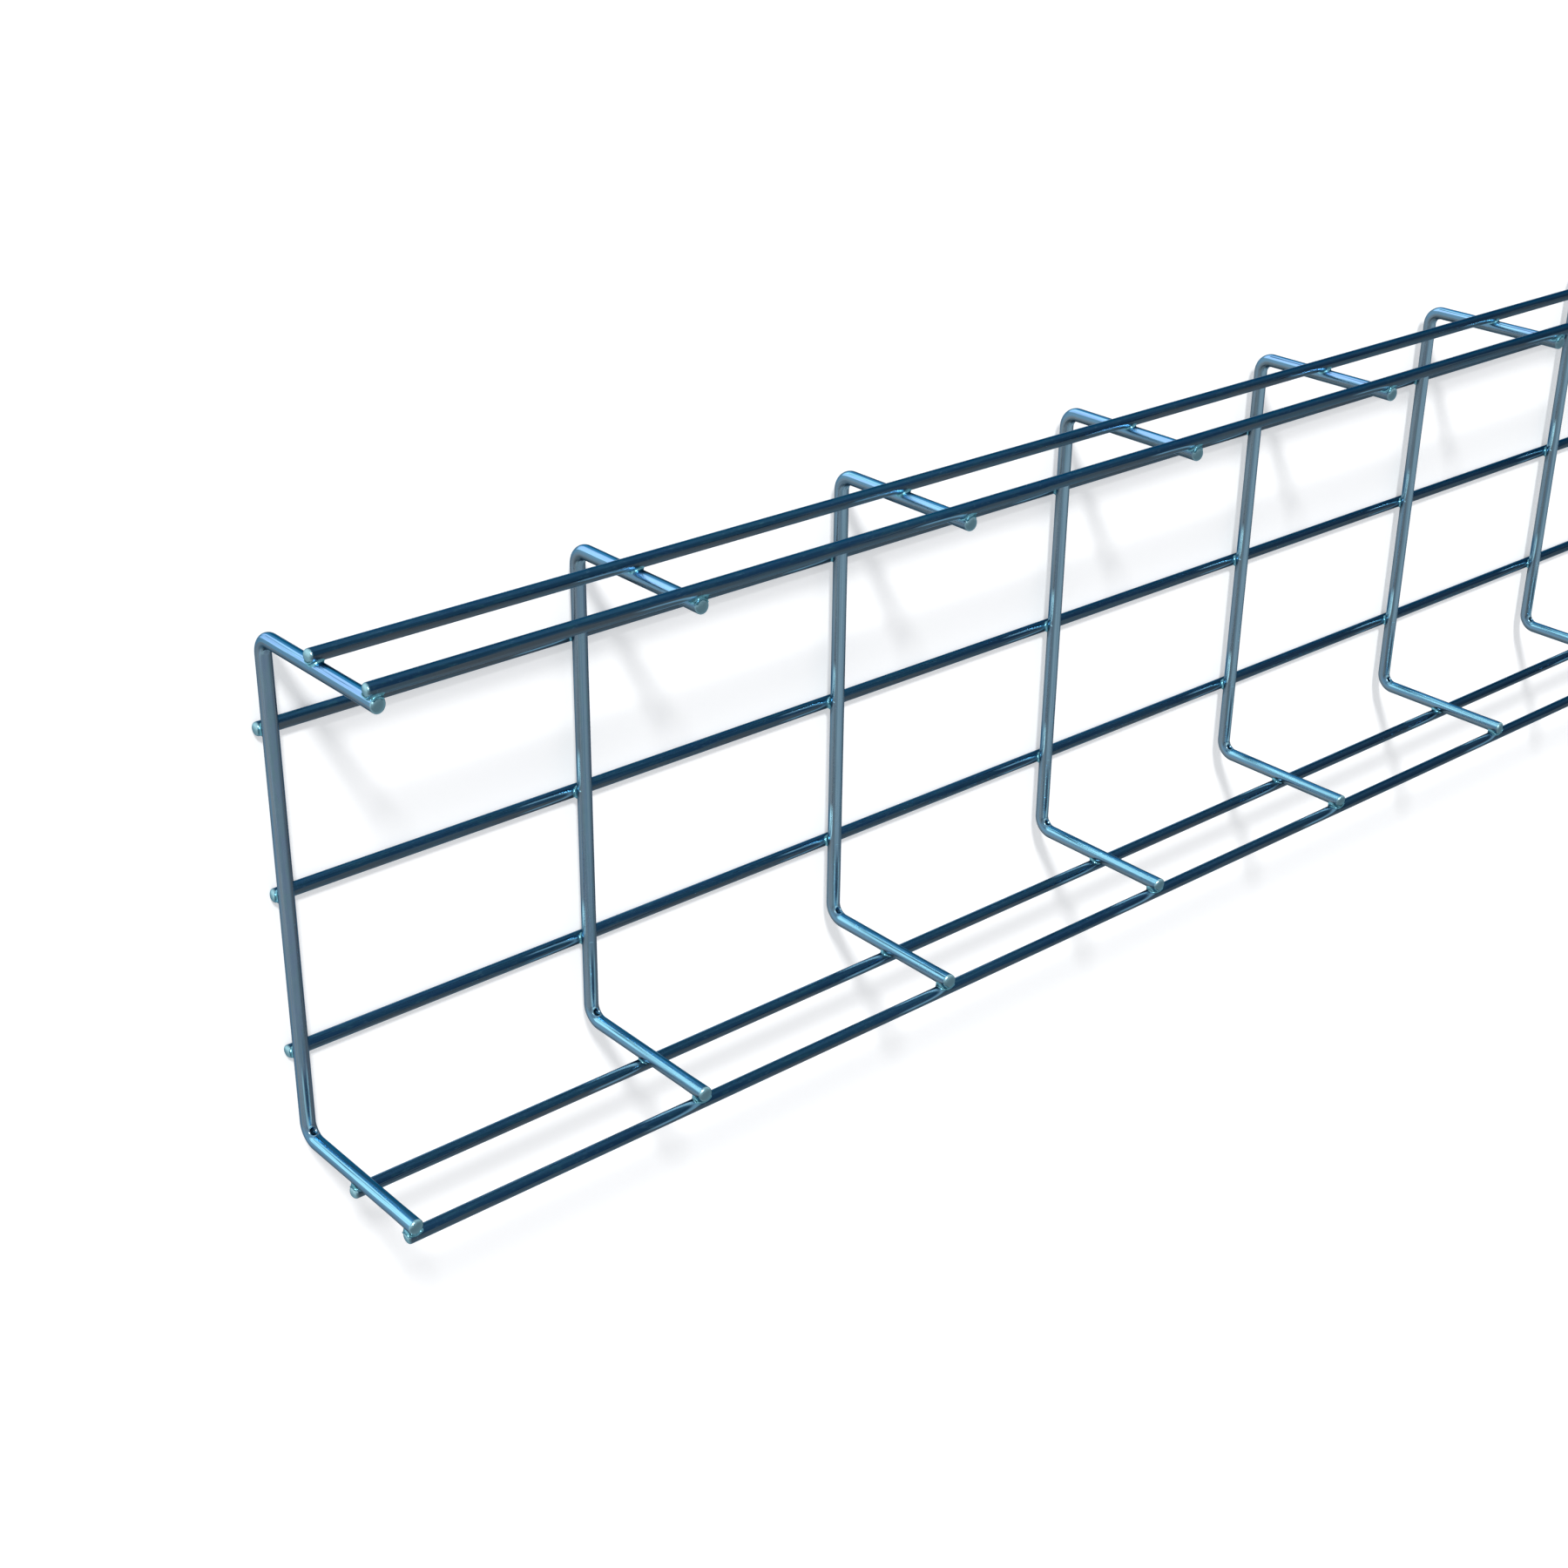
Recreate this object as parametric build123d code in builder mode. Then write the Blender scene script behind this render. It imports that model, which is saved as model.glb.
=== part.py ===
"""Wire mesh cable basket: U-shaped cross wires welded inside seven straight long wires.

Frame: X along the basket, Y across it, Z up. The basket lies on its wide base with its
open side up. The origin is on the floor, under the middle of the base.
Each wire is one solid, round in life and here a prism whose flats touch the true wire's
circle. Where two wires cross, the cross wire has a shallow saddle that the long wire lies in,
as deep as resistance welding presses the two wires together.
"""
import os

from build123d import *

os.makedirs("parts", exist_ok=True)

# ---- driving dimensions, mm ----
base_width = 154.5        # between the centre lines of the two sides: 150 clear inside
side_height = 57.0        # from the base's centre line to a side's cut wire end
cross_wire_dia = 4.5
long_wire_dia = 4.0
bend_radius = 5.0         # on the cross wire's centre line
cross_pitch = 100.0
bay_count = 15
long_overhang = 3.0       # long wire past the centre of the last cross wire
weld_depth = 0.5          # how far a long wire is pressed into a cross wire
wire_sides = 12           # a multiple of four, so that flats face the floor and the crossings

base_wire_places = {"front": -50.0, "middle": 0.0, "back": 50.0}    # across the base
side_wire_heights = {"lower": 27.0, "upper": 54.0}                  # above the base's centre line

# ---- worked out from those ----
cross_radius = cross_wire_dia / 2
long_radius = long_wire_dia / 2
weld_offset = cross_radius + long_radius - weld_depth    # between two crossing centre lines
base_level = weld_offset + long_radius                   # cross wire's centre line above the floor
side_place = base_width / 2
mesh_length = bay_count * cross_pitch
long_length = mesh_length + 2 * long_overhang
cross_places = [bay * cross_pitch - mesh_length / 2 for bay in range(bay_count + 1)]

# centre line of each long wire in the Y-Z plane, by node name
long_wire_lines = {
    f"long_wire_base_{name}": (place, base_level - weld_offset)
    for name, place in base_wire_places.items()
}
for side_name, direction in (("front", -1), ("back", 1)):
    for height_name, height in side_wire_heights.items():
        long_wire_lines[f"long_wire_{side_name}_{height_name}"] = (
            direction * (side_place + weld_offset),
            base_level + height,
        )


def cross_section(x):
    """The plane across the basket at x: its own x is Y and its own y is Z."""
    return Plane(origin=(x, 0, 0), x_dir=(0, 1, 0), z_dir=(1, 0, 0))


def wire_profile(radius):
    """A wire's section, in the sketch that is open. Its flats touch a circle of the radius."""
    return RegularPolygon(radius, wire_sides, major_radius=False, rotation=180 / wire_sides)


def long_wire(line):
    """A straight wire along X, sheared square at both ends."""
    with BuildPart() as wire:
        with BuildSketch(cross_section(-long_length / 2)):
            with Locations(line):
                wire_profile(long_radius)
        extrude(amount=long_length)
    return wire


def cross_wire(x):
    """One wire bent to a U, with a saddle for each long wire."""
    top_level = base_level + side_height
    with BuildPart() as wire:
        with BuildLine(cross_section(x)) as path:
            FilletPolyline(
                (-side_place, top_level),
                (-side_place, base_level),
                (side_place, base_level),
                (side_place, top_level),
                radius=bend_radius,
            )
        with BuildSketch(Plane(origin=path.line @ 0, z_dir=path.line % 0)):
            wire_profile(cross_radius)
        sweep()
        with BuildSketch(cross_section(x - cross_wire_dia)):
            with Locations(*long_wire_lines.values()):
                wire_profile(long_radius)
        extrude(amount=2 * cross_wire_dia, mode=Mode.SUBTRACT)
    return wire


for node, line in long_wire_lines.items():
    straight = long_wire(line)
    straight.part.label = node
    export_step(straight.part, f"parts/{node}.step")

for number, x in enumerate(cross_places, start=1):
    node = f"cross_wire_{number:02d}"
    bent = cross_wire(x)
    bent.part.label = node
    export_step(bent.part, f"parts/{node}.step")
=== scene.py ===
# %% [markdown]
# # Wire mesh cable basket
# This lesson dresses a straight length of cable basket: round steel wires, welded where they
# cross, bent to a U and plated with blue zinc. The solids come first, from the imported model,
# and fix every size and place. Each wire there is a plain prism, so here each one is made
# again as the smooth, sheared, welded and plated wire that it is in life.
#
# The basket lies on its base with its open side up. X runs along it, Y across it and Z up.
# Every length is in metres.

# %% Load the fixed frame
import math

import bpy
import numpy as np
from mathutils import Matrix, Vector


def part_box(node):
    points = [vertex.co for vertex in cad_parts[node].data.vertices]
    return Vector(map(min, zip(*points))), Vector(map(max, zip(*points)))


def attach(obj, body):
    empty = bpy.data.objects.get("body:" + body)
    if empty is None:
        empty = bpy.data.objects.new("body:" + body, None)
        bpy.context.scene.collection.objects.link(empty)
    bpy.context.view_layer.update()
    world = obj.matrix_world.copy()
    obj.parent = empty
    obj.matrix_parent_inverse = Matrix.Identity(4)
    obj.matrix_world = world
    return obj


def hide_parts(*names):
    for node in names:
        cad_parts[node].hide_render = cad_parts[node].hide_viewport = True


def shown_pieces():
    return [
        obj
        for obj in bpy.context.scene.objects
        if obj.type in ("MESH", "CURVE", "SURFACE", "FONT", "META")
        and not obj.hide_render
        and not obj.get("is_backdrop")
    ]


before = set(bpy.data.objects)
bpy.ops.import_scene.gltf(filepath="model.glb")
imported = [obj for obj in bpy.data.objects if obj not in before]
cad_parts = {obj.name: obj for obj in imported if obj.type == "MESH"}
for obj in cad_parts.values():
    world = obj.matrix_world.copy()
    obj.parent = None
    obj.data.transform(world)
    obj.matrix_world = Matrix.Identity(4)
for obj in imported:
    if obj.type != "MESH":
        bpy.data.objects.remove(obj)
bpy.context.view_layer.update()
print("solids loaded:", len(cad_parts))

# %% [markdown]
# ## Sizes
# Nothing is typed in that the solids can tell. A long wire's box gives its line and its
# thickness. A cross wire's box gives its place along the basket, its thickness, how far
# apart its two sides are and how high they stand. Only the radius of the bends can't be
# read from a box, so it has a value of its own.

# %% Read the long wires from their boxes
MM = 0.001
long_nodes = sorted(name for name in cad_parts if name.startswith("long_wire"))
long_lines = {}
for node in long_nodes:
    low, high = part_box(node)
    long_lines[node] = ((low.y + high.y) / 2, (low.z + high.z) / 2)
long_start, long_end = low.x, high.x
long_radius = (high.z - low.z) / 2
print("long wires:", len(long_lines), "thickness mm:", round(2 * long_radius / MM, 2))

# %% Read the cross wires from their boxes
cross_nodes = sorted(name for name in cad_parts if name.startswith("cross_wire"))
cross_places = {}
for node in cross_nodes:
    low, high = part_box(node)
    cross_places[node] = (low.x + high.x) / 2
cross_radius = (high.x - low.x) / 2
side_place = high.y - cross_radius
base_level = low.z + cross_radius
side_top = high.z
bend_radius = 5 * MM
print("cross wires:", len(cross_places), "thickness mm:", round(2 * cross_radius / MM, 2))

# %% [markdown]
# ## The two paths
# A long wire is straight. A cross wire starts as a straight wire too and is bent twice in a
# press, so its line is three straight runs and two arcs. A path here is a function: it takes
# a length along the wire and gives the middle of the wire there, the way it runs and one
# fixed way across it. A curve object could hold the same line, but a function also tells
# the finish how far along the wire each point is.

# %% Path of a long wire
def straight_path(line):
    """Along X, at the long wire's own Y and Z."""
    def path(s):
        centre = np.array([long_start + s, line[0], line[1]])
        return centre, np.array([1.0, 0.0, 0.0]), np.array([0.0, 1.0, 0.0])
    return path


print("a long wire is", round((long_end - long_start) / MM, 1), "mm long")

# %% Path of a cross wire
rise = side_top - base_level - bend_radius
arc = bend_radius * math.pi / 2
flat = 2 * (side_place - bend_radius)
bend_marks = np.cumsum([rise, arc, flat, arc, rise])


def bent_path(x):
    """Down the front side, along the base and up the back side, at one place along X."""
    def path(s):
        if s < bend_marks[0]:
            y, z, turn = -side_place, side_top - s, -math.pi / 2
        elif s < bend_marks[1]:
            turn = (s - bend_marks[0]) / bend_radius - math.pi / 2
            y = -side_place + bend_radius * (1 - math.cos(turn + math.pi / 2))
            z = base_level + bend_radius * (1 - math.sin(turn + math.pi / 2))
        elif s < bend_marks[2]:
            y, z, turn = -side_place + bend_radius + s - bend_marks[1], base_level, 0.0
        elif s < bend_marks[3]:
            turn = (s - bend_marks[2]) / bend_radius
            y = side_place - bend_radius * (1 - math.sin(turn))
            z = base_level + bend_radius * (1 - math.cos(turn))
        else:
            y, z, turn = side_place, base_level + bend_radius + s - bend_marks[3], math.pi / 2
        tangent = np.array([0.0, math.cos(turn), math.sin(turn)])
        return np.array([x, y, z]), tangent, np.array([1.0, 0.0, 0.0])
    return path


print("a cross wire is cut", round(bend_marks[-1] / MM, 1), "mm long before it is bent")

# %% [markdown]
# ## A skin from rings
# Every wire is a row of rings that are joined into a skin. A curve with a round bevel would
# be quicker, but its rings can't be cut, rounded or dented one by one. So each ring is a
# list of points here, and one helper joins ring to ring and closes the two ends.
#
# Each point also keeps marks of its own for the finish: its place across and along the wire,
# how far it is from a cut end and from a bend, how deep it lies in a tool mark, how far it
# is past a weld, and how far round the wire it is from the middle of a painted reflection line.

# %% Join rings into a skin
def skin(rings):
    """Faces that join each ring of points to the next one, and close the two ends."""
    count, sides = rings.shape[:2]
    faces = []
    for ring in range(count - 1):
        for side in range(sides):
            after = (side + 1) % sides
            this, following = ring * sides, (ring + 1) * sides
            faces.append((this + side, this + after, following + after, following + side))
    faces.append(tuple(range(sides))[::-1])
    faces.append(tuple(range((count - 1) * sides, count * sides)))
    return faces


print("a tube of 3 rings with 8 points each has", len(skin(np.zeros((3, 8, 3)))), "faces")

# %% [markdown]
# A piece is one mesh, made of shells that are each closed: a wire, and for a cross wire its
# weld collars too. The next helper puts the shells into one mesh with their materials and
# marks, and keeps the edges sharp where a collar meets the wire. It then tells the frame
# which body the piece belongs to and which finish it has.

# %% Build a piece from shells
def write_marks(mesh, name, values):
    """Three numbers on each point, under a name that a material can ask for."""
    marks = mesh.attributes.new(name, "FLOAT_VECTOR", "POINT")
    marks.data.foreach_set("vector", np.concatenate(values).astype(np.float32).ravel())


def build_piece(name, shells, materials):
    """One mesh from closed shells. A shell has points, faces, marks and a material."""
    faces, numbers, sharp = [], [], set()
    start = 0
    for shell in shells:
        faces += [tuple(start + corner for corner in face) for face in shell["faces"]]
        numbers += [shell["material"]] * len(shell["faces"])
        sharp |= {frozenset((start + a, start + b)) for a, b in shell["sharp"]}
        start += len(shell["points"])
    mesh = bpy.data.meshes.new(name)
    mesh.from_pydata(np.concatenate([shell["points"] for shell in shells]).tolist(), [], faces)
    for material in materials:
        mesh.materials.append(material)
    mesh.polygons.foreach_set("material_index", numbers)
    mesh.polygons.foreach_set("use_smooth", [True] * len(faces))
    write_marks(mesh, "wire_place", [shell["place"] for shell in shells])
    write_marks(mesh, "wire_marks", [shell["marks"] for shell in shells])
    write_marks(mesh, "reflection_marks", [shell["painted_lines"] for shell in shells])
    if sharp:
        ends = np.empty(len(mesh.edges) * 2, np.int32)
        mesh.edges.foreach_get("vertices", ends)
        flags = [frozenset(pair) in sharp for pair in ends.reshape(-1, 2).tolist()]
        edge_mark = mesh.attributes.new("sharp_edge", "BOOLEAN", "EDGE")
        edge_mark.data.foreach_set("value", flags)
    mesh.update()
    piece = bpy.data.objects.new(name, mesh)
    bpy.context.scene.collection.objects.link(piece)
    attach(piece, "root")
    return piece


print("marks on each point: wire_place, wire_marks, reflection_marks")


# %% [markdown]
# ## A cut end
# A wire is cut by a shear. That leaves a face that isn't quite square, pulls its edge over
# until it is round and squeezes the last millimetres a little thicker. So the rings near an
# end shrink along a curve that is flat in the middle of the face and steep at its edge. They
# also lean by a few degrees. The lean only ever takes length away, so the wire stays in the
# space of its solid. The long wires' ends are rounder than those of the cross wires, and
# aren't swollen.

# %% How a cut end is rounded
long_end_round = 1.4 * MM
cross_end_round = 1.2 * MM
ring_sizes = (0.12, 0.35, 0.55, 0.7, 0.82, 0.9, 0.95, 0.98, 1.0)
flatness = 2.4


def end_rows(radius, depth):
    """(how far in from the cut, how much thinner) for the rings of a cut end."""
    rows = []
    for share in ring_sizes:
        inset = depth * (1 - (1 - share**flatness)**(1 / flatness))
        rows.append((inset, radius * (1 - share)))
    return rows


print("rings at a cut end:", len(end_rows(cross_radius, cross_end_round)))

# %% [markdown]
# The next helper makes a whole wire: the rings of both ends, and a ring at each station in
# between. A survey function tells it what is special at a ring. Every wire has its own
# stretch of the noise that its finish is made from, so that no two wires look the same.

# %% The rings of one wire
seed = 7
random = np.random.default_rng(seed)
most_lean = 0.13
swollen_reach = 3
clear_of_end = 1.4
noise_stretch = 2.3
wire_count = 0


def wire_shell(path, length, stations, radius, sides, end_round, swell, survey):
    """The skin of a wire that follows a path. The survey gives each ring's dent and marks."""
    global wire_count
    wire_count += 1
    margin = end_round * clear_of_end
    inner = [(s, 0.0) for s in stations if margin < s < length - margin]
    ends = end_rows(radius, end_round)
    rows = ends + inner + [(length - inset, less) for inset, less in ends[::-1]]
    angles = np.arange(sides) * 2 * math.pi / sides
    around = np.stack([np.cos(angles), np.sin(angles)], 1)
    leans = random.uniform(-most_lean, most_lean, (2, 2))
    rings, places, marks, painted_lines = [], [], [], []
    for s, less in rows:
        centre, tangent, normal = path(s)
        other = np.cross(tangent, normal)
        near_start = s < length / 2
        lean = leans[0] if near_start else leans[1]
        from_cut = min(s, length - s)
        fade = max(0.0, 1 - from_cut / (swollen_reach * radius))
        offsets = around * (radius - less) * (1 + swell * fade * fade)
        shift = (offsets @ lean - radius * np.abs(lean).sum()) * fade * (-1 if near_start else 1)
        depth, from_bend, past_weld, round_from = survey(s, angles)
        offsets = offsets * (1 - depth)[:, None]
        ring = centre + offsets[:, :1] * normal + offsets[:, 1:] * other + shift[:, None] * tangent
        rings.append(ring)
        along = np.full(sides, s + noise_stretch * wire_count)
        places.append(np.column_stack([offsets, along]))
        marks.append(np.column_stack([np.full(sides, from_cut), np.full(sides, from_bend), depth]))
        painted_lines.append(np.column_stack([np.full(sides, past_weld), round_from, np.zeros(sides)]))
    rings = np.array(rings)
    return {
        "points": rings.reshape(-1, 3),
        "faces": skin(rings),
        "place": np.concatenate(places),
        "marks": np.concatenate(marks),
        "painted_lines": np.concatenate(painted_lines),
        "material": 0,
        "sharp": [],
    }


print("the cut leans by up to", round(math.degrees(math.atan(most_lean)), 1), "degrees each way")

# %% [markdown]
# ## Where the painted reflection lines start
# Beside a weld and beside a hard bend, a reflection line is painted along the wire. A cross
# wire gets lines from its middle and back welds, and from the back bend, always towards the
# front. Each start has the middle line of its mark round the wire, half its width in degrees,
# and how quickly the mark runs out.

# %% Where the painted reflection lines start on a cross wire
far = 40 * MM
weld_reflection = (24, 41, 1.6)
bend_reflection = (-73, 18, 1.0)
reflection_welds = [line[0] for line in long_lines.values() if line[1] < base_level and line[0] > -1 * MM]
reflection_starts = [(bend_marks[1] + flat / 2 + y, *weld_reflection) for y in reflection_welds]
reflection_starts.append((bend_marks[2] + arc / 2, *bend_reflection))


def round_from_middle(angles, middle, half):
    """0 on the middle line of a mark and 1 at its edges, which lie half a width away."""
    return (1 - np.cos(angles - math.radians(middle))) / (1 - math.cos(math.radians(half)))


print("heat starts on a cross wire:", len(reflection_starts))

# %% [markdown]
# ## The tool mark in each bend
# The press bends a cross wire round a narrow punch, and the punch's nose leaves a small pit
# on the inside of the bend. It could be painted on, but a real hollow also catches light on
# its far wall and throws up a low rim. So the pit is taken out of the rings themselves: a
# smooth step inside its outline, and a low rim just outside it. The press struck harder on
# the back side, so its pits are deeper.

# %% A pit on the inside of the bends
inward = 1.5 * math.pi
pit_reach = 1.15 * MM
pit_depth = 0.75 * MM
front_and_back = (0.4, 1.0)
strike = (0.8, 1.1)
stray = 0.25 * MM
longer = 1.1
flat_floor = 0.45
rim_place, rim_width, rim_height = 1.12, 0.16, 0.15


def smooth_step(low, high, value):
    """0 below low, 1 above high, and a smooth rise in between."""
    share = np.clip((value - low) / (high - low), 0, 1)
    return share * share * (3 - 2 * share)


print("pit depth mm:", round(pit_depth / MM, 2))

# %% [markdown]
# The survey of a cross wire works out both: the dents from its two pits, and how far past the
# start of a painted reflection line each ring is. The last cross wire, at the +X end, only
# gets the line from its bend.

# %% Dents and marks of a cross wire
end_reach = 10 * MM


def cross_survey(x):
    """Dents and marks of a cross wire, with small differences of its own at each bend."""
    starts = reflection_starts if x < long_end - end_reach else reflection_starts[-1:]
    middles = (bend_marks[0] + arc / 2, bend_marks[2] + arc / 2)
    shifts = random.uniform(-1, 1, (2, 2)) * stray
    depths = random.uniform(*strike, 2) * pit_depth * front_and_back

    def survey(s, angles):
        share = np.zeros(len(angles))
        for middle, shift, depth in zip(middles, shifts, depths):
            along = (s - middle) * (1 - cross_radius / bend_radius) + shift[0]
            across = (angles - inward) * cross_radius + shift[1]
            distance = np.hypot(along / longer, across) / pit_reach
            hollow = 1 - smooth_step(flat_floor, 1.0, distance)
            rim = np.exp(-((distance - rim_place) / rim_width)**2)
            share += (hollow - rim * rim_height) * depth / cross_radius
        from_bend = max(0.0, abs(s - middles[1]) - arc / 2)
        ahead = [(start - s, *shape) for start, *shape in starts if start >= s > bend_marks[1]]
        past_weld, middle, half, quick = min(ahead, default=(far, 0, 90, 1))
        return share, from_bend, past_weld * quick, round_from_middle(angles, middle, half)
    return survey


print("bends of a cross wire lie at mm:", (bend_marks[[0, 2]] / MM).round(1).tolist())

# %% [markdown]
# A long wire has no dents. Its survey only notes how far past the last weld a ring is, and how
# far round the wire each point is from the middle of the painted reflection line of that weld.
# The line runs from each weld towards +X.

# %% Marks of a long wire
base_reflection, front_reflection, back_reflection = (106, 30), (62, 30), (137, 44)


def long_survey(line):
    """How far past the last weld a ring is, and how far round the wire its points are."""
    side_reflection = front_reflection if line[0] < 0 else back_reflection
    shape = base_reflection if line[1] < base_level else side_reflection
    welds = np.array(sorted(cross_places.values())) - long_start

    def survey(s, angles):
        gaps = s - welds
        past_weld = min([far, *gaps[gaps >= 0]])
        return np.zeros(len(angles)), far, past_weld, round_from_middle(angles, *shape)
    return survey


print("welds on each long wire:", len(cross_places))

# %% [markdown]
# ## The weld
# Each crossing is a resistance weld. The two wires are pressed together hot, and the metal
# that is squeezed out freezes as a hollow collar round the seat. Its shape is that of a
# ball that rolls round the corner between the wires and touches both. So the collar is
# worked out and not sculpted: for each place of the ball, the strip of its skin between
# its two touching points is one rib of the collar. The ball grows and shrinks a little on
# its way round, because no weld flows evenly.
#
# In the helper, u runs along the cross wire, v along the long wire and w out from the
# cross wire to the long wire.

# %% A weld collar by a rolling ball
collar_ribs = 44
collar_steps = 7
collar_root = 0.5 * MM
unevenness = (0.04, 0.14)
bit_smaller = 0.97


def ball_place(turn, radius, offset):
    """Where the middle of a ball lies in u, v, w, part of a turn round the crossing."""
    to_cross, to_long = cross_radius + radius, long_radius + radius
    low_w, high_w = offset - to_long, to_cross
    w = (low_w + high_w) / 2 + (high_w - low_w) / 2 * math.cos(2 * turn)
    u = math.sqrt(max(0.0, to_long**2 - (w - offset)**2)) * math.copysign(1, math.cos(turn))
    v = math.sqrt(max(0.0, to_cross**2 - w**2)) * math.copysign(1, math.sin(turn))
    return np.array([u, v, w])


def weld_collar(offset, ball, room_u, room_v):
    """Points in u, v, w and faces of a closed collar, no further out than room_u and room_v."""
    waves = random.uniform(0, 2 * math.pi, 3)
    depth = random.uniform(*unevenness, 3)
    rings = []
    for rib in range(collar_ribs):
        turn = 2 * math.pi * rib / collar_ribs
        wobble = sum(d * math.cos((k + 1) * turn + p) for k, (d, p) in enumerate(zip(depth, waves)))
        radius = ball * (1 + wobble)
        centre = ball_place(turn, radius, offset)
        while abs(centre[0]) > room_u or abs(centre[1]) > room_v:
            radius *= bit_smaller
            centre = ball_place(turn, radius, offset)
        u, v, w = centre
        first = np.array([0, -v, -w]) / (cross_radius + radius)
        last = np.array([-u, 0, offset - w]) / (long_radius + radius)
        angle = math.acos(max(-1.0, min(1.0, float(first @ last))))
        ring = [centre + first * (radius + collar_root)]
        for step in range(collar_steps):
            share = step / (collar_steps - 1)
            way = math.sin((1 - share) * angle) * first + math.sin(share * angle) * last
            ring.append(centre + way / math.sin(angle) * radius)
        ring.append(centre + last * (radius + collar_root))
        rings.append(ring)
    rings = np.array(rings)
    sides = rings.shape[1]
    faces, sharp = [], []
    for rib in range(collar_ribs):
        this, after = rib * sides, (rib + 1) % collar_ribs * sides
        for side in range(sides):
            following = (side + 1) % sides
            faces.append((this + side, after + side, after + following, this + following))
        sharp += [(this + row, after + row) for row in (1, sides - 2)]
    return rings.reshape(-1, 3), faces, sharp


print("ribs in a collar:", collar_ribs, "with", collar_steps + 2, "points each")

# %% [markdown]
# The collar is made in its own u, v and w, so it has to be moved to its crossing. At the
# base, w points down. At a side it points out of the basket. One of the two turns would
# leave the collar inside out, so the helper turns its faces over where that happens. Close to
# the cut ends of a cross wire the metal had less to hold it back, so the collars are larger.

# %% Put a collar on its crossing
ball_near_end = (1.0, 1.4)
ball_elsewhere = (0.45, 0.75)
near_end = 5 * MM
plenty = 9 * MM


def place_collar(x, line):
    """A collar shell where the cross wire at x meets the long wire on a line."""
    y, z = line
    if z < base_level:
        seat, u_way, w_way = (x, y, base_level), (0, 1, 0), (0, 0, -1)
        offset, room_u = base_level - z, plenty
    else:
        out = math.copysign(1, y)
        seat, u_way, w_way = (x, out * side_place, z), (0, 0, 1), (0, out, 0)
        offset, room_u = abs(y) - side_place, side_top - z - cross_end_round / 2
    room_v = long_end - abs(x) - long_end_round / 3
    ball = random.uniform(*(ball_near_end if side_top - z < near_end else ball_elsewhere))
    points, faces, sharp = weld_collar(offset, ball * MM, room_u, room_v)
    axes = np.array([u_way, (1, 0, 0), w_way], float)
    placed = np.array(seat) + points @ axes
    if np.linalg.det(axes) > 0:
        faces = [face[::-1] for face in faces]
    place = placed - seat + np.array([0, 0, random.uniform(0, 90)])
    return {
        "points": placed,
        "faces": faces,
        "place": place,
        "marks": np.tile([far, far, 0.0], (len(placed), 1)),
        "painted_lines": np.tile([far, far, 0.0], (len(placed), 1)),
        "material": 1,
        "sharp": sharp,
    }


print("collars to place:", len(cross_places) * len(long_lines))

# %% [markdown]
# ## How the finish is built
# The whole basket went into the zinc bath in one piece and then into a blue passivating dip.
# The film that the dip leaves is far thinner than paint. It is metal all through, and its
# colour runs from pale cyan through blue to navy as it gets thicker. So every surface here is
# a metal shader, and all the work is in the colour map: where the film is thick, thin or
# dulled, and the highlights, reflections and shade that are painted into it.
#
# The three finishes share a few effects, and each effect is a node group with its own inputs.
# Three helpers keep the node code short: one starts a group, one adds a node with its
# settings and links, and one does a step of arithmetic.

# %% Helpers for nodes
def new_group(name, inputs, outputs):
    """An empty group with named sockets, and its two end nodes."""
    tree = bpy.data.node_groups.new(name, "ShaderNodeTree")
    for label, kind, value in inputs:
        socket = tree.interface.new_socket(label, in_out="INPUT", socket_type=kind)
        socket.default_value = value
    for label, kind in outputs:
        tree.interface.new_socket(label, in_out="OUTPUT", socket_type=kind)
    return tree, tree.nodes.new("NodeGroupInput"), tree.nodes.new("NodeGroupOutput")


def add(tree, kind, settings=None, feeds=None):
    """A node with its settings, whose inputs take a value or another node's output."""
    node = tree.nodes.new(kind)
    for name, value in (settings or {}).items():
        setattr(node, name, value)
    for slot, value in (feeds or {}).items():
        if isinstance(value, bpy.types.NodeSocket):
            tree.links.new(value, node.inputs[slot])
        else:
            node.inputs[slot].default_value = value
    return node


def combine(tree, operation, first, second):
    """One step of arithmetic on two values."""
    feeds = {0: first, 1: second}
    return add(tree, "ShaderNodeMath", {"operation": operation}, feeds).outputs[0]


print("helpers for nodes:", new_group.__name__, add.__name__, combine.__name__)

# %% [markdown]
# ## Drawn streaks
# Wire is pulled through a die, which scratches it along its whole length. Noise does that
# when it is stretched: the mark "wire_place" says where a point is across and along its own
# wire, so the streaks follow the wire round its bends. Length and width are inputs, so the
# same group also makes the cloudy patches of the dip, which are wider and shorter.

# %% Group: stretched noise
FLOAT, VECTOR = "NodeSocketFloat", "NodeSocketVector"
streaks, given, result = new_group(
    "stretched noise",
    [("Length", FLOAT, 0.05), ("Width", FLOAT, 0.001), ("Low", FLOAT, 0.35), ("High", FLOAT, 0.65)],
    [("Amount", FLOAT)],
)
place = add(streaks, "ShaderNodeAttribute", {"attribute_name": "wire_place"})
width, length_in = given.outputs["Width"], given.outputs["Length"]
scale = add(streaks, "ShaderNodeCombineXYZ", feeds={0: width, 1: width, 2: length_in})
feeds = {0: place.outputs["Vector"], 1: scale.outputs[0]}
stretched = add(streaks, "ShaderNodeVectorMath", {"operation": "DIVIDE"}, feeds)
feeds = {"Vector": stretched.outputs[0], "Scale": 1.0, "Detail": 3.0, "Roughness": 0.6}
noise = add(streaks, "ShaderNodeTexNoise", feeds=feeds)
feeds = {0: noise.outputs[0], 1: given.outputs["Low"], 2: given.outputs["High"]}
amount = add(streaks, "ShaderNodeMapRange", {"interpolation_type": "SMOOTHSTEP"}, feeds)
streaks.links.new(amount.outputs[0], result.inputs["Amount"])
print("group:", streaks.name)
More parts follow.
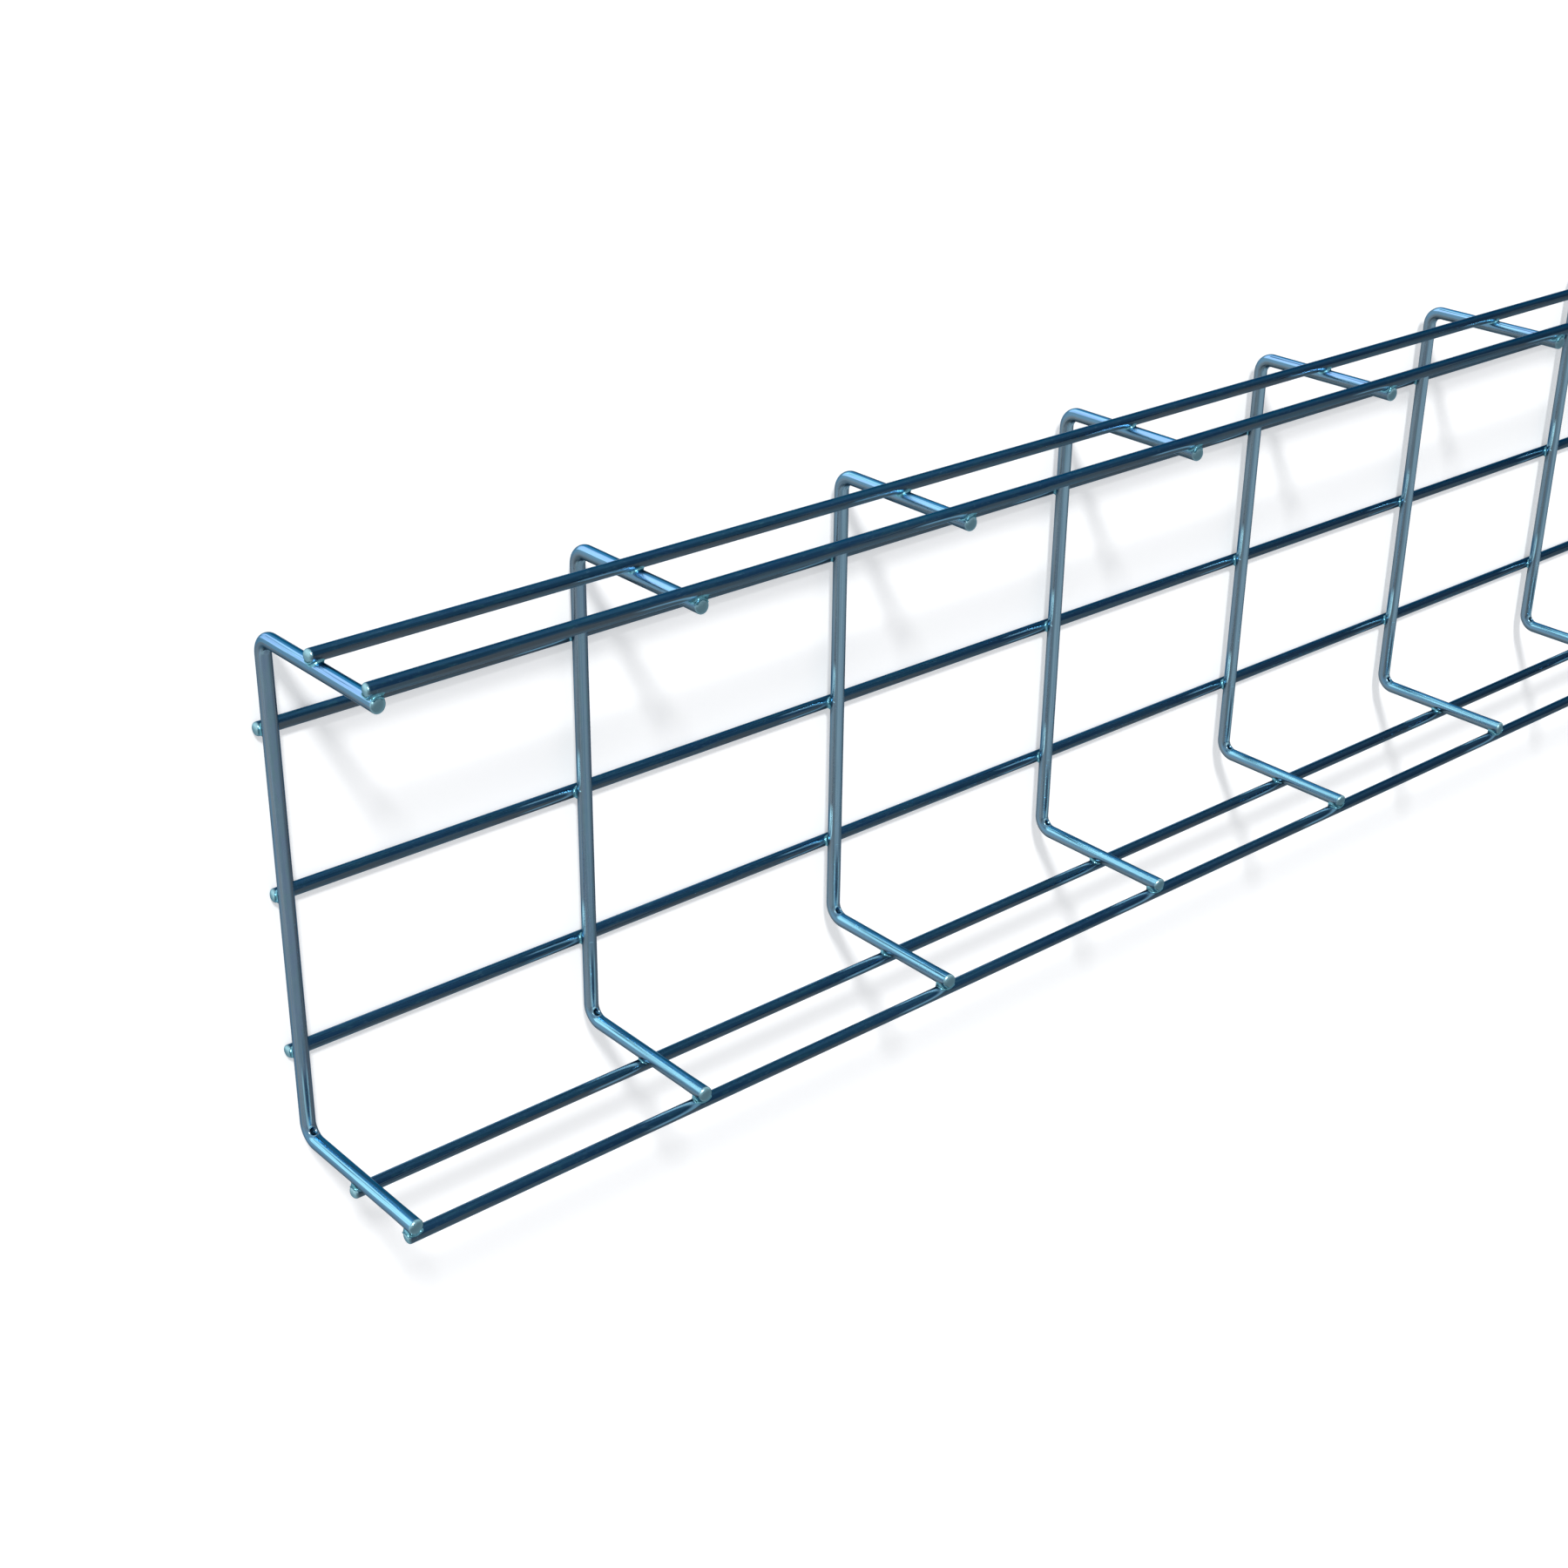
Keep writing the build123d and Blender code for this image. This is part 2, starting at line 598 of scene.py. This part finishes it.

# %% [markdown]
# ## Painted bands round a wire
# The highlights, reflections and shade that are painted into the colour lie in bands round
# the wire, which run along it. The mask compares the surface's own direction with a given
# side, and a streak value bends the edge of the band, so that it isn't ruled.

# %% Group: one side of a wire
one_side, given, result = new_group(
    "one side of a wire",
    [("Side", VECTOR, (0, 0, 1)), ("Start", FLOAT, 0.5), ("Full", FLOAT, 0.9),
     ("Streak", FLOAT, 0.5), ("Wander", FLOAT, 0.1)],
    [("Mask", FLOAT)],
)
surface = add(one_side, "ShaderNodeTexCoord")
feeds = {0: surface.outputs["Normal"], 1: given.outputs["Side"]}
likeness = add(one_side, "ShaderNodeVectorMath", {"operation": "DOT_PRODUCT"}, feeds)
centred = combine(one_side, "SUBTRACT", given.outputs["Streak"], 0.5)
bent = combine(one_side, "MULTIPLY", centred, given.outputs["Wander"])
moved = combine(one_side, "ADD", likeness.outputs["Value"], bent)
feeds = {0: moved, 1: given.outputs["Start"], 2: given.outputs["Full"]}
band = add(one_side, "ShaderNodeMapRange", {"interpolation_type": "SMOOTHSTEP"}, feeds)
one_side.links.new(band.outputs[0], result.inputs["Mask"])
print("group:", one_side.name)

# %% [markdown]
# ## Cut ends, bends and tool marks
# The mark "wire_marks" holds how far a point is from a cut end, how far from the back bend,
# and how deep in a pit. A cut face is rough from the shear, so its zinc is pale and dull. Near
# the back bend the bend mark places a painted dark line. A pit is coloured dark, and its rim
# gets a painted highlight.

# %% Group: marks on the wire
cut_core = 0.3 * MM
pit_start, pit_full = 0.06, 0.22
rim_start, rim_full = -0.012, -0.045
wire_marks, given, result = new_group(
    "marks on the wire",
    [("Cut reach", FLOAT, 0.0014), ("Bend reach", FLOAT, 0.02)],
    [("Cut", FLOAT), ("Bend", FLOAT), ("Pit", FLOAT), ("Rim", FLOAT)],
)
marks = add(wire_marks, "ShaderNodeAttribute", {"attribute_name": "wire_marks"})
split = add(wire_marks, "ShaderNodeSeparateXYZ", feeds={0: marks.outputs["Vector"]})
for label, value, low, high in (
    ("Cut", split.outputs[0], given.outputs["Cut reach"], cut_core),
    ("Bend", split.outputs[1], given.outputs["Bend reach"], 0.0),
    ("Pit", split.outputs[2], pit_start, pit_full),
    ("Rim", split.outputs[2], rim_start, rim_full),
):
    feeds = {0: value, 1: low, 2: high}
    ramp = add(wire_marks, "ShaderNodeMapRange", {"interpolation_type": "SMOOTHSTEP"}, feeds)
    wire_marks.links.new(ramp.outputs[0], result.inputs[label])
print("group:", wire_marks.name)


# %% [markdown]
# ## The painted reflection line
# Beside a weld, a glossy wire mirrors the wire that crosses it, and that reflection is painted
# into the colour. So a bright line starts close to the weld, opens round the wire in the
# shape of a U, and fades out along both flanks. Below the back bend the same painted
# reflection is slim. The mark "reflection_marks" holds how far past the weld a point is and
# how far round the wire. The line lies where the second number is what it should be at that
# distance: it rises fast near the weld, and then hardly at all.

# %% Group: painted reflection line
left_per_step = 0.368
uneven = 0.12
fade_from = 0.65
reflection_line, given, result = new_group(
    "painted reflection line",
    [("Start", FLOAT, 0.0025), ("Opening", FLOAT, 0.004), ("Reach", FLOAT, 0.024),
     ("Thin", FLOAT, 0.45), ("Thick", FLOAT, 0.10), ("Wander", FLOAT, 0.5)],
    [("Line", FLOAT), ("Inside", FLOAT)],
)
marks = add(reflection_line, "ShaderNodeAttribute", {"attribute_name": "reflection_marks"})
split = add(reflection_line, "ShaderNodeSeparateXYZ", feeds={0: marks.outputs["Vector"]})
distance, round_from = split.outputs[0], split.outputs[1]
past_start = combine(reflection_line, "SUBTRACT", distance, given.outputs["Start"])
steps = combine(reflection_line, "DIVIDE", past_start, given.outputs["Opening"])
decay = combine(reflection_line, "POWER", left_per_step, combine(reflection_line, "MAXIMUM", steps, 0.0))
on_line = combine(reflection_line, "SUBTRACT", 1.0, decay)
beyond = combine(reflection_line, "SUBTRACT", round_from, on_line)
wander = combine(reflection_line, "MULTIPLY", given.outputs["Wander"], uneven)
gap = combine(reflection_line, "ADD", combine(reflection_line, "ABSOLUTE", beyond, 0.0), wander)
feeds = {0: gap, 1: given.outputs["Thin"], 2: given.outputs["Thick"]}
drawn = add(reflection_line, "ShaderNodeMapRange", {"interpolation_type": "SMOOTHSTEP"}, feeds)
feeds = {0: beyond, 1: -0.05, 2: -0.35}
within = add(reflection_line, "ShaderNodeMapRange", {"interpolation_type": "SMOOTHSTEP"}, feeds)
strong = combine(reflection_line, "MULTIPLY", given.outputs["Reach"], fade_from)
feeds = {0: distance, 1: given.outputs["Reach"], 2: strong}
faded = add(reflection_line, "ShaderNodeMapRange", {"interpolation_type": "SMOOTHSTEP"}, feeds)
feeds = {0: past_start, 1: -0.0015, 2: 0.0}
begun = add(reflection_line, "ShaderNodeMapRange", {"interpolation_type": "SMOOTHSTEP"}, feeds)
shown = combine(reflection_line, "MULTIPLY", faded.outputs[0], begun.outputs[0])
line = combine(reflection_line, "MULTIPLY", drawn.outputs[0], shown)
inside = combine(reflection_line, "MULTIPLY", within.outputs[0], shown)
reflection_line.links.new(line, result.inputs["Line"])
reflection_line.links.new(inside, result.inputs["Inside"])
print("group:", reflection_line.name)


# %% [markdown]
# ## Layers of colour
# A finish is a stack: a ground colour, then one layer after another, each with its mask. A
# small helper class keeps the stack readable. It ends in a Principled shader, set as metal,
# whose roughness comes from the same masks as its colour. The die's scratches are a bump of
# a few thousandths of a millimetre.

# %% A helper for stacks of colour
edge_tint = (0.35, 0.42, 0.50, 1)


class Finish:
    """A metal material that is built up in layers."""

    def __init__(self, name, ground):
        self.material = bpy.data.materials.new(name)
        self.material.use_nodes = True
        self.tree = self.material.node_tree
        self.shader = self.tree.nodes["Principled BSDF"]
        self.shader.inputs["Metallic"].default_value = 1.0
        self.shader.inputs["Specular Tint"].default_value = edge_tint
        self.colour = (*ground, 1)
        self.marks = self.group(wire_marks).outputs

    def group(self, group, **feeds):
        """A node group in this material. An underscore stands for a space in an input."""
        named = {label.replace("_", " "): value for label, value in feeds.items()}
        return add(self.tree, "ShaderNodeGroup", {"node_tree": group}, named)

    def noise(self, length, width, low=0.35, high=0.65):
        """Noise that is stretched along the wire, between 0 and 1."""
        return self.group(streaks, Length=length, Width=width, Low=low, High=high).outputs[0]

    def side(self, side, start, full, streak, wander):
        """A mask for one side of a wire, with an edge that a streak bends."""
        feeds = {"Side": side, "Start": start, "Full": full, "Streak": streak, "Wander": wander}
        return self.group(one_side, **feeds).outputs[0]

    def beyond(self, axis, start, full):
        """A mask that grows along the x or y of the whole basket, axis 0 or 1."""
        place = add(self.tree, "ShaderNodeTexCoord").outputs["Object"]
        split = add(self.tree, "ShaderNodeSeparateXYZ", feeds={0: place})
        feeds = {0: split.outputs[axis], 1: start, 2: full}
        return add(self.tree, "ShaderNodeMapRange", feeds=feeds).outputs[0]

    def layer(self, colour, mask, strength=1.0):
        """Lay a colour over all the colours so far, where the mask is bright."""
        if strength != 1.0:
            mask = combine(self.tree, "MULTIPLY", mask, strength)
        feeds = {0: mask, 6: self.colour, 7: (*colour, 1)}
        mix = add(self.tree, "ShaderNodeMix", {"data_type": "RGBA"}, feeds)
        self.colour = mix.outputs[2]

    def done(self, smooth, rough, dull, height, depth):
        """Roughness runs from smooth to rough with the mask dull, and the height makes bump."""
        feeds = {0: dull, 3: smooth, 4: rough}
        roughness = add(self.tree, "ShaderNodeMapRange", feeds=feeds).outputs[0]
        feeds = {"Height": height, "Distance": depth, "Strength": 1.0}
        bump = add(self.tree, "ShaderNodeBump", feeds=feeds)
        self.tree.links.new(self.colour, self.shader.inputs["Base Color"])
        self.tree.links.new(roughness, self.shader.inputs["Roughness"])
        self.tree.links.new(bump.outputs[0], self.shader.inputs["Normal"])
        return self.material


print("a stack of colour is a", Finish.__name__)

# %% [markdown]
# ## Long wires
# The long wires lay on the outside of the sheet, where the film grew thick: it is navy, with
# lighter blue streaks. On their back half a grey reflection is painted over the navy, and the
# front gets painted shade, with a painted highlight along its lower edge. The navy is a little
# bluer near the +X end than along the rest.

# %% Colours that the wires share
cut_zinc = (0.17, 0.31, 0.36)
# A painted highlight on one side of a cut face.
cut_face_highlight = (0.36, 0.64, 0.72)
highlight_side_of_cut = ((0.3, -0.94, 0.15), 0.25, 0.80)
pit_dark = (0.009, 0.032, 0.060)
line_reflection_blue = (0.26, 0.55, 0.76)
drawn_depth = 0.008 * MM
print("scratches are", round(drawn_depth / MM, 4), "mm deep")

# %% Long wires: ground and streaks
navy_ground = (0.014, 0.052, 0.115)
blue_streak = (0.028, 0.100, 0.210)
teal_cloud = (0.022, 0.095, 0.145)
teal_patch = (0.035, 0.135, 0.175)
pale_speckle = (0.090, 0.200, 0.280)
plain_navy = (0.020, 0.041, 0.076)
navy = Finish("blue zinc, thick film", navy_ground)
streak = navy.noise(0.06, 0.0008)
cloud = navy.noise(0.035, 0.006)
patch = navy.noise(0.006, 0.0012, 0.55, 0.68)
speckle = navy.noise(0.0022, 0.0005, 0.58, 0.72)
fine = navy.noise(0.008, 0.00022, 0.3, 0.7)
navy.layer(blue_streak, streak, 0.45)
navy.layer(teal_cloud, cloud, 0.40)
navy.layer(teal_patch, patch, 0.35)
navy.layer(pale_speckle, speckle, 0.35)
navy.layer(plain_navy, navy.beyond(0, 0.55, 0.28), 0.7)
print("ground of the long wires:", len(navy.tree.nodes), "nodes")

# %% Long wires: bands round the wire
front_shade_navy = (0.010, 0.034, 0.066)
edge_highlight_blue = (0.100, 0.205, 0.320)
grey_floor_reflection = (0.088, 0.140, 0.176)
patchy_reflection_grey = (0.108, 0.125, 0.138)
under_blue = (0.020, 0.072, 0.140)
# Painted shade on the front, a painted highlight along its lower edge, a painted grey reflection on
# the back half, patchy in places, and blue underneath towards the back. The grey side is also
# rougher.
front = navy.side((0, -1, 0), 0.72, 0.97, streak, 0.1)
edge = navy.side((0, -0.92, -0.39), 0.92, 0.99, streak, 0.04)
grey_reflection_side = navy.side((0, 0.94, 0.34), -0.08, 0.32, streak, 0.30)
under = navy.side((0, 0.57, -0.82), 0.20, 0.55, streak, 0.25)
navy.layer(front_shade_navy, front, 0.4)
navy.layer(edge_highlight_blue, edge, 0.8)
navy.layer(grey_floor_reflection, grey_reflection_side, 0.95)
navy.layer(patchy_reflection_grey, combine(navy.tree, "MULTIPLY", grey_reflection_side, cloud), 0.7)
navy.layer(under_blue, under, 0.9)
print("with the bands:", len(navy.tree.nodes), "nodes")

# %% Long wires: painted reflection lines, cut ends and roughness
# A painted reflection line in blue beside each weld.
painted_line_masks = navy.group(reflection_line, Thin=0.60, Thick=0.16, Wander=streak).outputs
navy.layer(line_reflection_blue, painted_line_masks["Line"], 0.85)
navy.layer(cut_zinc, navy.marks["Cut"])
# A painted highlight on one side of each cut face.
cut_highlight_mask = navy.side(*highlight_side_of_cut, streak, 0.1)
navy.layer(cut_face_highlight, combine(navy.tree, "MULTIPLY", navy.marks["Cut"], cut_highlight_mask))
dull = combine(navy.tree, "MAXIMUM", grey_reflection_side, navy.marks["Cut"])
long_finish = navy.done(0.21, 0.36, dull, fine, drawn_depth)
print("finish:", long_finish.name)

# %% [markdown]
# ## Cross wires
# The cross wires are the brighter ones. On the base they are slate blue, with painted shade
# and a painted grey reflection on their edges. On the sides of the basket a painted cyan
# highlight runs along them, with painted navy shade on one side of it. On the front side that
# painted highlight has a lavender tint in patches. Away from the +X end the slate is a bit
# lighter, most of all in a painted highlight band along the top of the base.

# %% Cross wires: ground and streaks
slate_ground = (0.215, 0.345, 0.435)
green_cloud = (0.16, 0.32, 0.35)
pale_streak = (0.27, 0.39, 0.47)
violet_tint = (0.235, 0.325, 0.480)
pale_mottle = (0.250, 0.390, 0.470)
light_slate = (0.245, 0.425, 0.525)
slate = Finish("blue zinc, thin film", slate_ground)
streak = slate.noise(0.05, 0.0007)
cloud = slate.noise(0.03, 0.005)
tint = slate.noise(0.009, 0.002, 0.40, 0.60)
mottle = slate.noise(0.0045, 0.0016, 0.42, 0.62)
fine = slate.noise(0.008, 0.00022, 0.3, 0.7)
farther = slate.beyond(0, 0.70, 0.56)
slate.layer(green_cloud, cloud, 0.5)
slate.layer(pale_streak, streak, 0.35)
slate.layer(violet_tint, tint, 0.5)
slate.layer(pale_mottle, mottle, 0.35)
slate.layer(light_slate, farther, 0.6)
print("ground of the cross wires:", len(slate.tree.nodes), "nodes")

# %% Cross wires: bands on the base
edge_shade_grey = (0.062, 0.070, 0.083)
shaded_blue = (0.170, 0.300, 0.395)
edge_reflection_grey = (0.125, 0.150, 0.172)
highlight_slate = (0.370, 0.580, 0.700)
# Painted shade on the -X edge and underneath, a painted grey reflection on the +X edge, and a
# painted highlight along the top, strongest away from the +X end.
left_edge = slate.side((-0.91, 0, 0.41), 0.30, 0.88, streak, 0.1)
below = slate.side((-0.57, 0, -0.82), 0.32, 0.66, streak, 0.2)
right_edge = slate.side((0.98, 0, -0.2), 0.40, 0.85, streak, 0.1)
highlight_band = slate.side((0.31, 0, 0.95), 0.91, 0.985, streak, 0.08)
slate.layer(edge_shade_grey, left_edge, 0.9)
slate.layer(shaded_blue, below, 0.9)
slate.layer(edge_reflection_grey, right_edge, 0.8)
slate.layer(highlight_slate, combine(slate.tree, "MULTIPLY", farther, highlight_band), 0.75)
print("with the bands on the base:", len(slate.tree.nodes), "nodes")

# %% Cross wires: painted reflection lines
dark_reflection_inside = (0.020, 0.085, 0.160)
bright_line_reflection = (0.48, 0.86, 1.0)
# Painted reflection lines beside the welds and the back bend: a dark inside and a bright line.
feeds = {"Opening": 0.0035, "Reach": 0.026, "Thin": 0.85, "Thick": 0.30, "Wander": streak}
painted_line_masks = slate.group(reflection_line, **feeds).outputs
slate.layer(dark_reflection_inside, painted_line_masks["Inside"], 0.75)
slate.layer(bright_line_reflection, painted_line_masks["Line"])
print("with the heat marks:", len(slate.tree.nodes), "nodes")

# %% [markdown]
# On the sides of the basket a cross wire shows more bands, and all of them are painted
# reflection. The broad, muted ones come first: slate towards +X and the front, and grey and
# blue on the far side, with a thin painted highlight line. Then come painted navy shade, blue
# and the bright painted highlight. Each band is a layer with the same mask group and a side of
# its own.

# %% Cross wires: muted bands on the sides
reflected_slate = (0.120, 0.255, 0.375)
grey_reflection_slate = (0.070, 0.105, 0.125)
outer_blue = (0.110, 0.260, 0.390)
pale_line_highlight = (0.310, 0.660, 0.860)
# Painted reflection: slate, grey and blue bands and a thin pale highlight line.
slate_band_side = slate.side((0.74, -0.673, 0), 0.66, 0.90, streak, 0.12)
away = slate.side((0.50, 0.866, 0), 0.50, 0.85, streak, 0.15)
outer = slate.side((-0.54, 0.842, 0), 0.62, 0.88, streak, 0.12)
outer_line = slate.side((-0.80, 0.600, 0), 0.94, 0.99, streak, 0.04)
slate.layer(reflected_slate, slate_band_side, 0.95)
slate.layer(grey_reflection_slate, away, 0.9)
slate.layer(outer_blue, outer, 0.9)
slate.layer(pale_line_highlight, outer_line, 0.6)
print("with the muted bands on the sides:", len(slate.tree.nodes), "nodes")

# %% Cross wires: bright bands on the sides
navy_shade = (0.022, 0.095, 0.180)
full_blue = (0.050, 0.225, 0.450)
bright_highlight_cyan = (0.350, 0.790, 1.000)
lavender_highlight = (0.340, 0.570, 1.000)
drawn_blue = (0.040, 0.170, 0.330)
# Painted navy shade, a blue band and the bright painted highlight, lavender in patches on the front
# side.
navy_band = slate.side((-0.21, -0.978, 0), 0.78, 0.95, streak, 0.10)
blue_band = slate.side((0.407, -0.914, 0), 0.92, 0.985, streak, 0.05)
cyan_highlight_mask = slate.side((0.669, -0.743, 0), 0.93, 0.98, streak, 0.03)
front_side = slate.beyond(1, -0.068, -0.073)
blush = combine(slate.tree, "MULTIPLY", slate.noise(0.05, 0.004, 0.30, 0.50), front_side)
drawn_line = slate.noise(0.11, 0.0007, 0.52, 0.70)
slate.layer(navy_shade, navy_band)
slate.layer(full_blue, blue_band)
slate.layer(bright_highlight_cyan, cyan_highlight_mask)
slate.layer(lavender_highlight, combine(slate.tree, "MULTIPLY", cyan_highlight_mask, blush), 0.85)
slate.layer(drawn_blue, drawn_line, 0.3)
print("with the bright bands on the sides:", len(slate.tree.nodes), "nodes")

# %% [markdown]
# Where the painted highlight comes near the back bend, and here and there further on, a thin
# painted dark line splits it. The rims of the pits get a faint painted highlight. The cut ends,
# with a painted highlight on one side, and the dark colour in the pits come last, on top of
# all else.

# %% Cross wires: split line
dark_line = (0.030, 0.120, 0.230)
near_bend = slate.marks["Bend"]
past_bend = combine(slate.tree, "SUBTRACT", 1.0, near_bend)
between = combine(slate.tree, "MULTIPLY", near_bend, past_bend)
halfway = combine(slate.tree, "MULTIPLY", between, 3.6)
# A thin dark line painted inside the painted highlight.
middle_line = slate.side((0.606, -0.795, 0), 0.994, 0.999, streak, 0.008)
here_and_there = slate.noise(0.09, 0.004, 0.46, 0.58)
patchy = combine(slate.tree, "MAXIMUM", halfway, here_and_there)
slate.layer(dark_line, combine(slate.tree, "MULTIPLY", patchy, middle_line), 0.85)
print("with the split line:", len(slate.tree.nodes), "nodes")

# %% Cross wires: pits, cut ends and roughness
# A painted highlight on the rims of the pits.
rim_highlight = (0.420, 0.760, 0.920)
slate.layer(rim_highlight, slate.marks["Rim"], 0.2)
slate.layer(cut_zinc, slate.marks["Cut"])
# A painted highlight on one side of each cut face.
cut_highlight_mask = slate.side(*highlight_side_of_cut, streak, 0.1)
slate.layer(cut_face_highlight, combine(slate.tree, "MULTIPLY", slate.marks["Cut"], cut_highlight_mask))
slate.layer(pit_dark, slate.marks["Pit"])
dull = combine(slate.tree, "MAXIMUM", cloud, slate.marks["Cut"])
cross_finish = slate.done(0.21, 0.32, dull, fine, drawn_depth)
print("finish:", cross_finish.name)

# %% [markdown]
# ## Weld metal
# The collar froze out of molten metal, so it has no drawn streaks. It is smooth and takes a
# thin, bright film, with teal patches.

# %% Finish of the weld metal
weld_cyan = (0.19, 0.46, 0.58)
weld_teal = (0.09, 0.26, 0.30)
weld_grain = 0.02 * MM
weld = Finish("blue zinc on weld metal", weld_cyan)
cloud = weld.noise(0.0014, 0.0012)
fine = weld.noise(0.0005, 0.0005, 0.3, 0.7)
weld.layer(weld_teal, cloud, 0.8)
weld_finish = weld.done(0.24, 0.38, cloud, fine, weld_grain)
print("finish:", weld_finish.name)

# %% [markdown]
# ## Make the wires
# With paths, rings, pits, collars and finishes ready, each wire is a few lines. A long wire
# is straight, so it needs rings only near its welds, where the marks change. A cross wire
# needs many in its bends, and it carries the seven weld collars that sit on it.

# %% Make the long wires
long_sides = 40
length = long_end - long_start
steps = np.array([-40, -5, -2, -0.1, 0, 2, 3, 4, 5, 6, 8, 10, 13, 16, 20, 25, 32]) * MM
stations = sorted({x - long_start + step for x in cross_places.values() for step in steps})
for node, line in long_lines.items():
    size = (length, stations, long_radius, long_sides, long_end_round, 0.0)
    shell = wire_shell(straight_path(line), *size, long_survey(line))
    piece = build_piece("round_" + node, [shell], [long_finish])
    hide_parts(node)
print("long wires made:", len(long_lines))

# %% Make the cross wires
cross_sides = 56
swollen = 0.07
rings_in_run = [6, 28, 9, 28, 6]
runs = zip([0, *bend_marks[:-1]], bend_marks, rings_in_run)
stations = [s for first, last, count in runs for s in np.linspace(first, last, count)[:-1]]
steps = np.array([-0.1, 0, 2, 3, 4, 5, 6, 8, 10, 13, 17, 21, 25]) * MM
stations += [start - step for start, *shape in reflection_starts for step in steps]
stations = sorted({round(s, 6) for s in stations})
for node, x in cross_places.items():
    survey = cross_survey(x)
    size = (bend_marks[-1], stations, cross_radius, cross_sides, cross_end_round, swollen)
    wire = wire_shell(bent_path(x), *size, survey)
    collars = [place_collar(x, line) for line in long_lines.values()]
    piece = build_piece("round_" + node, [wire, *collars], [cross_finish, weld_finish])
    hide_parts(node)
print("cross wires made:", len(cross_places), "with", len(collars), "welds each")

# %% [markdown]
# ## Floor
# The floor is plain and white. It takes the light as a matt surface does, so that it keeps
# the basket's shadow, and it adds a little white of its own for the rays that look at it
# straight or in a mirror. That lifts it to full white without any more light on the basket.

# %% A white floor
floor_grey = (0.7, 0.7, 0.7, 1)
own_white = 0.38
bpy.ops.mesh.primitive_plane_add(size=60)
floor = bpy.context.object
floor.name = "floor"
floor_finish = bpy.data.materials.new("white floor")
floor_finish.use_nodes = True
tree = floor_finish.node_tree
shader = tree.nodes["Principled BSDF"]
shader.inputs["Base Color"].default_value = floor_grey
shader.inputs["Roughness"].default_value = 1.0
shader.inputs["Specular IOR Level"].default_value = 0.0
rays = add(tree, "ShaderNodeLightPath")
seen = combine(tree, "MAXIMUM", rays.outputs["Is Camera Ray"], rays.outputs["Is Glossy Ray"])
seen = combine(tree, "MAXIMUM", seen, rays.outputs["Is Transmission Ray"])
tree.links.new(combine(tree, "MULTIPLY", seen, own_white), shader.inputs["Emission Strength"])
shader.inputs["Emission Color"].default_value = (1, 1, 1, 1)
floor.data.materials.append(floor_finish)
floor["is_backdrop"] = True
print("floor:", floor.name)

# %% [markdown]
# ## Light
# Metal shows what stands round it, so the world is part of the finish. It is white at the
# horizon and darker overhead, as in a studio with pale walls and a high, dark ceiling. The
# key light is a lamp of the sun kind with a wide angle. It acts like a large soft box that
# stands far away: its shadows are soft, and it is as bright at one end of the basket as at
# the other. World and lamp together light a level surface so that a colour comes out as it is
# written.

# %% World
wall_top, ceiling_start = 0.16, 0.5
wall_white = (1, 1, 1, 1)
ceiling_grey = (0.47, 0.49, 0.52, 1)
world = bpy.data.worlds.new("studio")
bpy.context.scene.world = world
world.use_nodes = True
tree = world.node_tree
way = add(tree, "ShaderNodeTexCoord")
split = add(tree, "ShaderNodeSeparateXYZ", feeds={0: way.outputs["Generated"]})
feeds = {0: split.outputs["Z"], 1: wall_top, 2: ceiling_start}
height = add(tree, "ShaderNodeMapRange", {"interpolation_type": "SMOOTHSTEP"}, feeds)
feeds = {0: height.outputs[0], 6: wall_white, 7: ceiling_grey}
shade = add(tree, "ShaderNodeMix", {"data_type": "RGBA"}, feeds)
tree.links.new(shade.outputs[2], tree.nodes["Background"].inputs["Color"])
print("world:", world.name)

# %% Key light
key_data = bpy.data.lights.new("key", "SUN")
key_data.energy = 2.7
key_data.angle = math.radians(7.5)
key = bpy.data.objects.new("key", key_data)
bpy.context.scene.collection.objects.link(key)
towards_key = Vector((0.37, -0.70, 0.61))
key.rotation_euler = towards_key.to_track_quat("Z", "Y").to_euler()
print("key light stands", round(math.degrees(math.asin(towards_key.normalized().z))), "degrees up")

# %% [markdown]
# ## Camera
# The camera looks into the basket from its right end, from the front and above. It is rolled
# about its own line of sight, so that the base stands upright in the picture like a back
# wall.

# %% Camera
camera_data = bpy.data.cameras.new("camera")
camera_data.lens = 54.9
camera_data.sensor_width = 36
camera = bpy.data.objects.new("camera", camera_data)
bpy.context.scene.collection.objects.link(camera)
azimuth, elevation, roll = math.radians(52.853), math.radians(42.687), math.radians(117.756)
level = math.cos(elevation)
back = Vector((math.sin(azimuth) * level, -math.cos(azimuth) * level, math.sin(elevation)))
aim = Vector((0.56723, 0.02515, 0.0))
stand_off = 0.77036
camera.location = aim + back * stand_off
camera.rotation_mode = "QUATERNION"
turn = (-back).to_track_quat("-Z", "Y")
camera.rotation_quaternion = turn @ Matrix.Rotation(roll, 3, "Z").to_quaternion()
bpy.context.scene.camera = camera
bpy.context.scene.view_settings.view_transform = "Standard"
print("camera at", [round(value, 4) for value in camera.location])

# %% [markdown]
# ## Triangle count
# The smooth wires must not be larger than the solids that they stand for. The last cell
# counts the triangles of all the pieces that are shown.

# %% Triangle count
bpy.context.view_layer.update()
faces = [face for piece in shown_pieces() for face in piece.data.polygons]
print("triangles:", sum(len(face.vertices) - 2 for face in faces))
